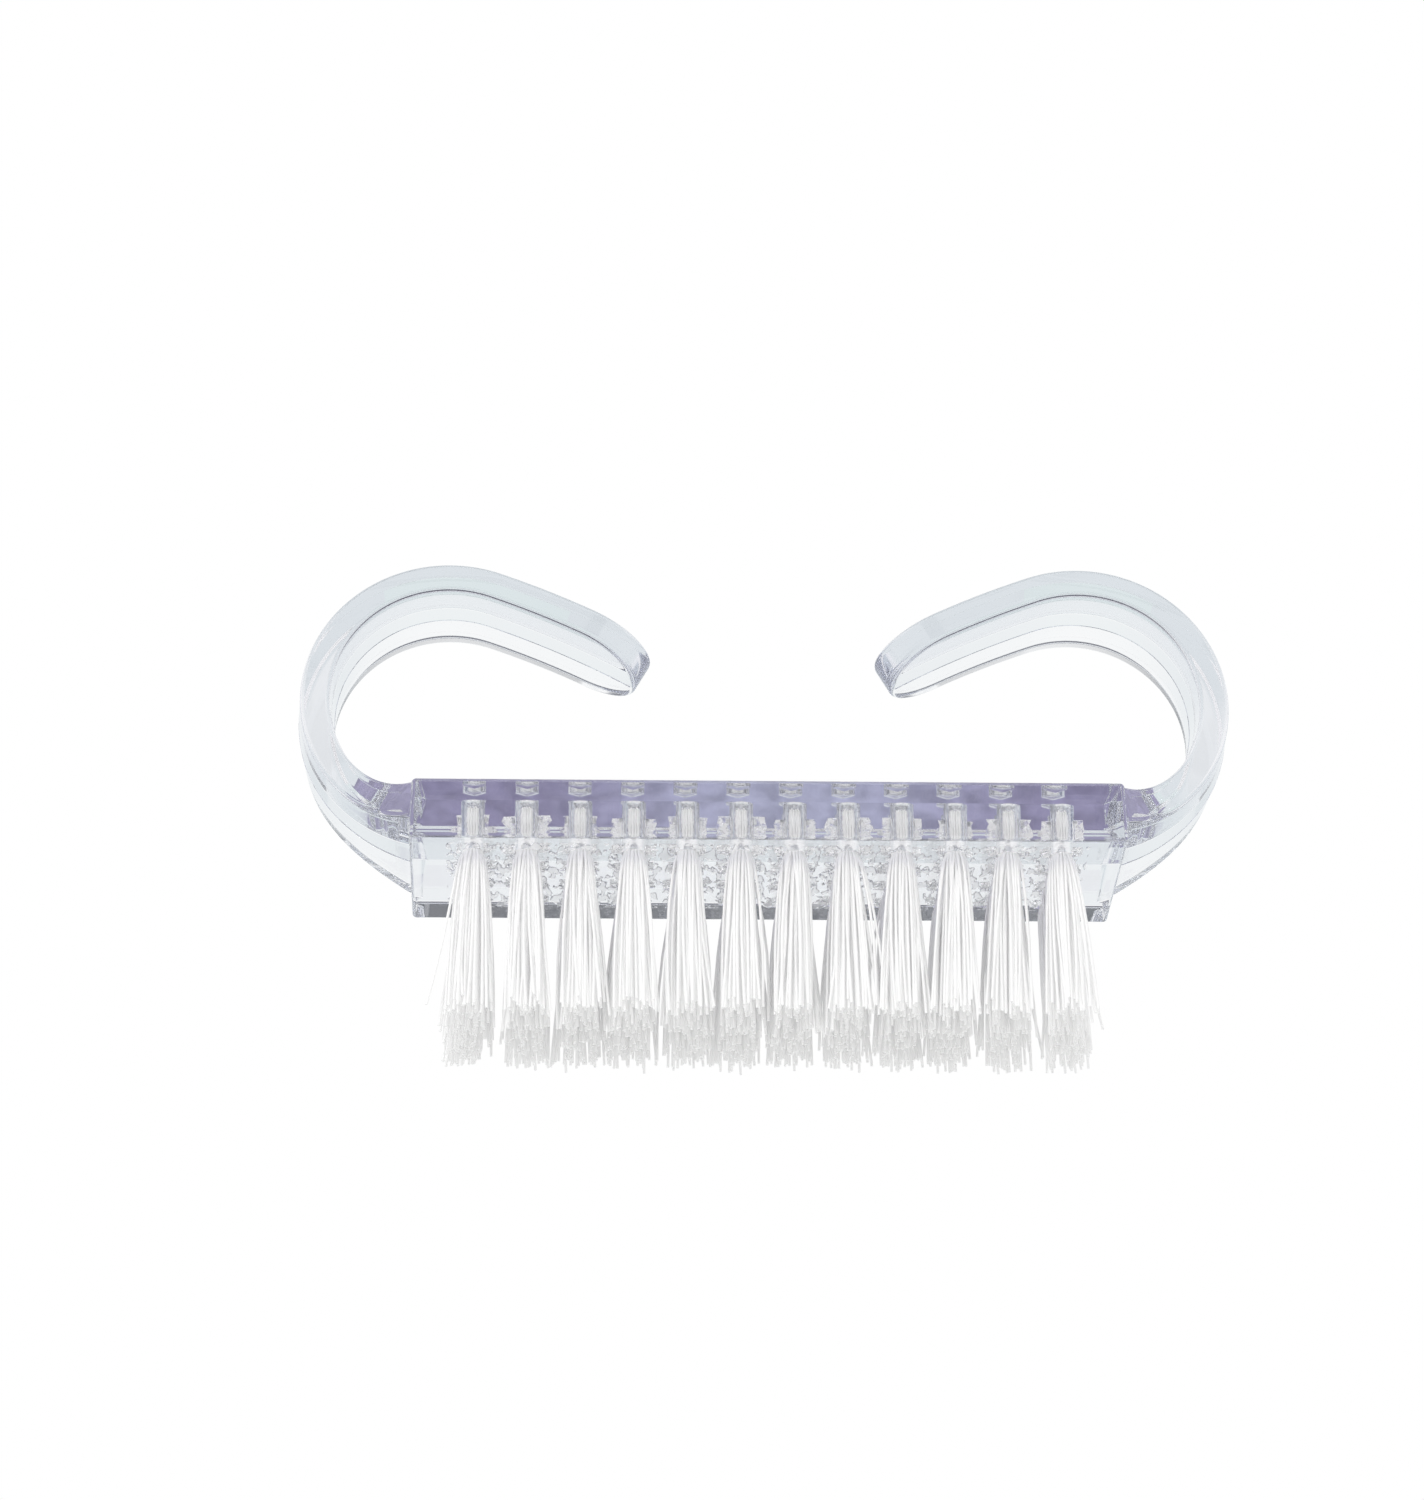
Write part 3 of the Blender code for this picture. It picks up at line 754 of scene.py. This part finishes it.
# %% Make the tufts
END_SPLAY = {0: -0.8, COLUMNS - 1: 1.6}
SPLAY, LEAN, FRONT_TRIM = 0.35 * MM, 0.18 * MM, 0.35 * MM
LOOSE, LOOSE_PER_SPLAY = 0.06, 0.1
NYLON_SHARP = 50.0
rng = np.random.default_rng(11)
for row in range(ROWS):
    for column in range(COLUMNS):
        name = f"tuft_r{row + 1}_c{column + 1:02d}"
        outward = END_SPLAY.get(column, 0.0)
        lean = rng.normal(0.0, LEAN, 2) + np.array([SPLAY * outward, 0.0])
        paths = filament_paths(rng, lean, FRONT_TRIM * (row == 0),
                               LOOSE + LOOSE_PER_SPLAY * abs(outward))
        paths += (hole_x[column], hole_y[row], BRISTLE_LENGTH)
        mesh = skin(name, tube_rings(paths, 0.5 * FILAMENT, TUBE_SIDES))
        tuft = piece("bristles" + name[4:], mesh, white_nylon, NYLON_SHARP)
        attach(tuft, "root")
        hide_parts(name)
print("tufts made:", ROWS * COLUMNS, "faces in the last:", len(tuft.data.polygons))

# %% [markdown]
# ## What clear plastic sees
# Clear plastic shows what it bends into view, so the room round it matters as much as the
# object. Rays that come from glass or gloss see a studio: a wall behind that is pale grey low
# down and white higher up, a dark ceiling straight above, which draws the thin dark lines along
# the hooks' rims, and a dark patch in front and a little above, where a camera and its stand
# would be. Light that bounces off something matt sees plain white instead, so none of this
# tints the bristles.

# %% Wall and ceiling
world = bpy.data.worlds.new("studio")
bpy.context.scene.world = world
world.use_nodes = True
tree = world.node_tree
tree.nodes.clear()
path = add_node(tree, "ShaderNodeLightPath")
place = add_node(tree, "ShaderNodeTexCoord")
axes = add_node(tree, "ShaderNodeSeparateXYZ", None, None, {"Vector": (place, "Generated")})
in_front = add_node(tree, "ShaderNodeMath", {"operation": "LESS_THAN"}, {1: 0.0},
                    {0: (axes, "Y")})
height = add_node(tree, "ShaderNodeMapRange", {"interpolation_type": "SMOOTHSTEP"},
                  {"From Min": 0.20, "From Max": 0.60}, {"Value": (axes, "Z")})
height = add_node(tree, "ShaderNodeMath", {"operation": "MAXIMUM"}, None,
                  {0: (height, "Result"), 1: (in_front, 0)})
wall = add_node(tree, "ShaderNodeMix", {"data_type": "RGBA"},
                {"A": linear("#E1E7EA"), "B": linear("#FFFFFF")}, {"Factor": (height, 0)})
steep = add_node(tree, "ShaderNodeMapRange", {"interpolation_type": "SMOOTHSTEP"},
                 {"From Min": 0.75, "From Max": 0.85}, {"Value": (axes, "Z")})
ceiling = add_node(tree, "ShaderNodeMix", {"data_type": "RGBA"}, {"B": linear("#5C5C6A")},
                   {"Factor": (steep, "Result"), "A": (wall, "Result")})
print("nodes for wall and ceiling:", len(tree.nodes))

# %% Dark patch in front
PATCH_MIDDLE, PATCH_SIZE = (0.0, -0.961, 0.275), (0.50, 1.0, 0.16)
ahead = add_node(tree, "ShaderNodeMapping", {"vector_type": "TEXTURE"},
                 {"Location": PATCH_MIDDLE, "Scale": PATCH_SIZE}, {"Vector": (place, "Generated")})
off_patch = add_node(tree, "ShaderNodeVectorMath", {"operation": "LENGTH"}, None,
                     {0: (ahead, "Vector")})
off_patch = add_node(tree, "ShaderNodeMapRange", {"interpolation_type": "SMOOTHSTEP"},
                     {"From Min": 0.75, "From Max": 1.05}, {"Value": (off_patch, "Value")})
room = add_node(tree, "ShaderNodeMix", {"data_type": "RGBA"}, {"A": linear("#4A4A52")},
                {"Factor": (off_patch, "Result"), "B": (ceiling, "Result")})
bounced = add_node(tree, "ShaderNodeMath", {"operation": "MINIMUM"}, {1: 1.0},
                   {0: (path, "Diffuse Depth")})
seen = add_node(tree, "ShaderNodeMix", {"data_type": "RGBA"}, {"B": linear("#FFFFFF")},
                {"Factor": (bounced, 0), "A": (room, "Result")})
print("nodes with the patch:", len(tree.nodes))

# %% [markdown]
# ## Even light and backdrop
# The world also gives most of the light, evenly from all sides, at a level at which white nylon
# comes out just below white. The camera itself sees a white backdrop of strength 1, so the
# background is white without any more light on the brush.

# %% World
AMBIENT = 0.89
ambient = add_node(tree, "ShaderNodeBackground", None,
                   {"Color": linear("#FFFFFF"), "Strength": AMBIENT})
room_light = add_node(tree, "ShaderNodeBackground", None, {"Strength": 1.0},
                      {"Color": (seen, "Result")})
backdrop = add_node(tree, "ShaderNodeBackground", None,
                    {"Color": linear("#FFFFFF"), "Strength": 1.0})
clear_ray = add_node(tree, "ShaderNodeMath", {"operation": "MAXIMUM"}, None,
                     {0: (path, "Is Glossy Ray"), 1: (path, "Is Transmission Ray")})
through = add_node(tree, "ShaderNodeMixShader", None, None, {
    "Fac": (clear_ray, 0), 1: (ambient, "Background"), 2: (room_light, "Background")})
mix = add_node(tree, "ShaderNodeMixShader", None, None, {
    "Fac": (path, "Is Camera Ray"), 1: (through, "Shader"), 2: (backdrop, "Background")})
add_node(tree, "ShaderNodeOutputWorld", None, None, {"Surface": (mix, "Shader")})
print("even light:", AMBIENT)

# %% [markdown]
# ## The card behind the block
# In the picture the block's front is violet grey, darker and bluer than the hooks, because it
# mirrors something that stands close behind the brush. A card does that here. It is deeper in
# tone towards its ends, with soft blotches. Only rays that leave glass nearby see it, so the
# bristles, the floor, the camera and the hooks seen from above stay free of it.

# %% Card tones
PALEST_X, PALE_TO, DEEP_FROM = 2.0 * MM, 2.0 * MM, 20.0 * MM
BLOTCHES_PER_MM = (0.35, 0.001, 0.5)
card_material, card_output = new_material("violet_grey_card")
tree = card_material.node_tree
place = add_node(tree, "ShaderNodeTexCoord")
axes = add_node(tree, "ShaderNodeSeparateXYZ", None, None, {"Vector": (place, "Object")})
off_middle = add_node(tree, "ShaderNodeMath", {"operation": "SUBTRACT"}, {1: PALEST_X},
                      {0: (axes, "X")})
off_middle = add_node(tree, "ShaderNodeMath", {"operation": "ABSOLUTE"}, None,
                      {0: (off_middle, 0)})
slope = add_node(tree, "ShaderNodeMapRange", {"interpolation_type": "SMOOTHSTEP"},
                 {"From Min": PALE_TO, "From Max": DEEP_FROM}, {"Value": (off_middle, 0)})
base = add_node(tree, "ShaderNodeMix", {"data_type": "RGBA"},
                {"A": (0.42, 0.43, 0.57, 1.0), "B": (0.29, 0.27, 0.41, 1.0)},
                {"Factor": (slope, "Result")})
stretched = add_node(tree, "ShaderNodeMapping", None,
                     {"Scale": tuple(count / MM for count in BLOTCHES_PER_MM)},
                     {"Vector": (place, "Object")})
blotch = add_node(tree, "ShaderNodeTexNoise", None,
                  {"Scale": 1.0, "Detail": 2.0, "Distortion": 0.6},
                  {"Vector": (stretched, "Vector")})
lift = add_node(tree, "ShaderNodeMapRange", None,
                {"From Min": 0.35, "From Max": 0.68, "To Min": 0.85, "To Max": 1.3},
                {"Value": (blotch, "Fac")})
print("card tones:", len(tree.nodes), "nodes")

# %% Card paint
CARD_NEAR = 10.0 * MM
glow = add_node(tree, "ShaderNodeEmission", None, None,
                {"Color": (base, "Result"), "Strength": (lift, "Result")})
path = add_node(tree, "ShaderNodeLightPath")
gone = add_node(tree, "ShaderNodeBsdfTransparent")
distant = add_node(tree, "ShaderNodeMath", {"operation": "GREATER_THAN"}, {1: CARD_NEAR},
                   {0: (path, "Ray Length")})
left_out = add_node(tree, "ShaderNodeMath", {"operation": "MAXIMUM"}, None,
                    {0: (distant, 0), 1: (path, "Diffuse Depth")})
mix = add_node(tree, "ShaderNodeMixShader", None, None, {
    "Fac": (left_out, 0), 1: (glow, "Emission"), 2: (gone, "BSDF")})
tree.links.new(mix.outputs["Shader"], card_output.inputs["Surface"])
print("card paint:", len(tree.nodes), "nodes")

# %% Card
CARD_Y, CARD_X, CARD_Z = 12.0 * MM, (-34.0 * MM, 26.0 * MM), (3.0 * MM, 16.4 * MM)
corners = [(CARD_X[i], CARD_Y, CARD_Z[k]) for i, k in ((0, 0), (1, 0), (1, 1), (0, 1))]
card_mesh = bpy.data.meshes.new("card_behind_block")
card_mesh.from_pydata(corners, [], [(0, 1, 2, 3)])
card = piece("card_behind_block", card_mesh, card_material)
card.visible_camera = card.visible_diffuse = card.visible_glossy = False
card.visible_shadow = card.visible_volume_scatter = False
print("card corners:", corners[0], corners[2])

# %% [markdown]
# ## The floor
# A plain pale floor lies below the brush and the camera, and takes the shadow. A hard horizon
# would cut through views from above, so the paint fades into the white backdrop with distance.
# Glass sees it as white nearby and slightly green-grey further off, where the floor of a studio
# lies in the shade. That tone gives the hooks' fronts their cool grey.

# %% Floor paint
FADE_FROM, FADE_TO, TINT_FROM, TINT_TO = 0.28, 0.50, 0.22, 0.36
floor_material, floor_output = new_material("pale_matt_floor")
tree = floor_material.node_tree
place = add_node(tree, "ShaderNodeTexCoord")
apart = add_node(tree, "ShaderNodeVectorMath", {"operation": "LENGTH"}, None,
                 {0: (place, "Object")})
fade = add_node(tree, "ShaderNodeMapRange", {"interpolation_type": "SMOOTHSTEP"},
                {"From Min": FADE_FROM, "From Max": FADE_TO}, {"Value": (apart, "Value")})
path = add_node(tree, "ShaderNodeLightPath")
seen = add_node(tree, "ShaderNodeMath", {"operation": "MAXIMUM"}, None,
                {0: (path, "Is Glossy Ray"), 1: (path, "Is Transmission Ray")})
direct = add_node(tree, "ShaderNodeMath", {"operation": "SUBTRACT", "use_clamp": True}, None,
                  {0: (seen, 0), 1: (path, "Diffuse Depth")})
faded = add_node(tree, "ShaderNodeMath", {"operation": "MULTIPLY"}, None,
                 {0: (path, "Is Camera Ray"), 1: (fade, "Result")})
lost = add_node(tree, "ShaderNodeMath", {"operation": "MAXIMUM"}, None,
                {0: (seen, 0), 1: (faded, 0)})
paint = add_node(tree, "ShaderNodeBsdfPrincipled", None, {
    "Base Color": linear("#F4F4F3"), "Roughness": 0.8})
tint = add_node(tree, "ShaderNodeMapRange", {"interpolation_type": "SMOOTHSTEP"},
                {"From Min": TINT_FROM, "From Max": TINT_TO}, {"Value": (apart, "Value")})
tinted = add_node(tree, "ShaderNodeMath", {"operation": "MULTIPLY"}, None,
                  {0: (direct, 0), 1: (tint, "Result")})
bright = add_node(tree, "ShaderNodeMix", {"data_type": "RGBA"},
                  {"A": linear("#FFFFFF"), "B": linear("#E2ECEC")}, {"Factor": (tinted, 0)})
white = add_node(tree, "ShaderNodeEmission", None, {"Strength": 1.0},
                 {"Color": (bright, "Result")})
mix = add_node(tree, "ShaderNodeMixShader", None, None, {
    "Fac": (lost, 0), 1: (paint, "BSDF"), 2: (white, "Emission")})
tree.links.new(mix.outputs["Shader"], floor_output.inputs["Surface"])
print("floor paint:", len(tree.nodes), "nodes")

# %% Floor
FLOOR_Z, FLOOR_RADIUS, FLOOR_SIDES = -0.25, 0.6, 64
around = np.linspace(0.0, 2.0 * math.pi, FLOOR_SIDES, endpoint=False)
disc = np.stack([FLOOR_RADIUS * np.cos(around), FLOOR_RADIUS * np.sin(around),
                 np.full(FLOOR_SIDES, FLOOR_Z)], -1)
floor_mesh = bpy.data.meshes.new("floor")
floor_mesh.from_pydata(disc, [], [list(range(FLOOR_SIDES))])
floor = piece("floor", floor_mesh, floor_material)
print("floor:", FLOOR_RADIUS, "m round, at z", FLOOR_Z)

# %% [markdown]
# ## The lamp
# One round soft lamp stands in front, above and to the left. It is weak, because the even light
# does most of the work, and only rounds the tufts. Glass doesn't show the lamp itself.

# %% Lamp
LAMP_PLACE, LAMP_AIM = np.array([-0.12, -0.53, 0.27]), np.array([0.0, 0.0, 0.015])
LAMP_SIZE, LAMP_WATTS = 0.12, 0.68
lamp_data = bpy.data.lights.new("soft_front_lamp", "AREA")
lamp_data.shape, lamp_data.size, lamp_data.energy = "DISK", LAMP_SIZE, LAMP_WATTS
lamp = bpy.data.objects.new("soft_front_lamp", lamp_data)
bpy.context.scene.collection.objects.link(lamp)
away = LAMP_PLACE - LAMP_AIM
lamp.matrix_world = aimed(np.cross((0.0, 0.0, 1.0), away), away, LAMP_PLACE)
lamp.visible_transmission = lamp.visible_glossy = False
print("lamp is", round(float(np.linalg.norm(away)), 2), "m away")

# %% [markdown]
# ## Bounces and finish
# Inside clear plastic light is reflected many times before it gets out, and Cycles counts each
# of these as a glossy bounce. With the usual four, the block would be full of black patches.
# The colours are shown as they are written.

# %% Bounces and finish
BOUNCES = 64
cycles = bpy.context.scene.cycles
cycles.max_bounces = cycles.diffuse_bounces = BOUNCES
cycles.glossy_bounces = cycles.transmission_bounces = BOUNCES
bpy.context.scene.view_settings.view_transform = "Standard"
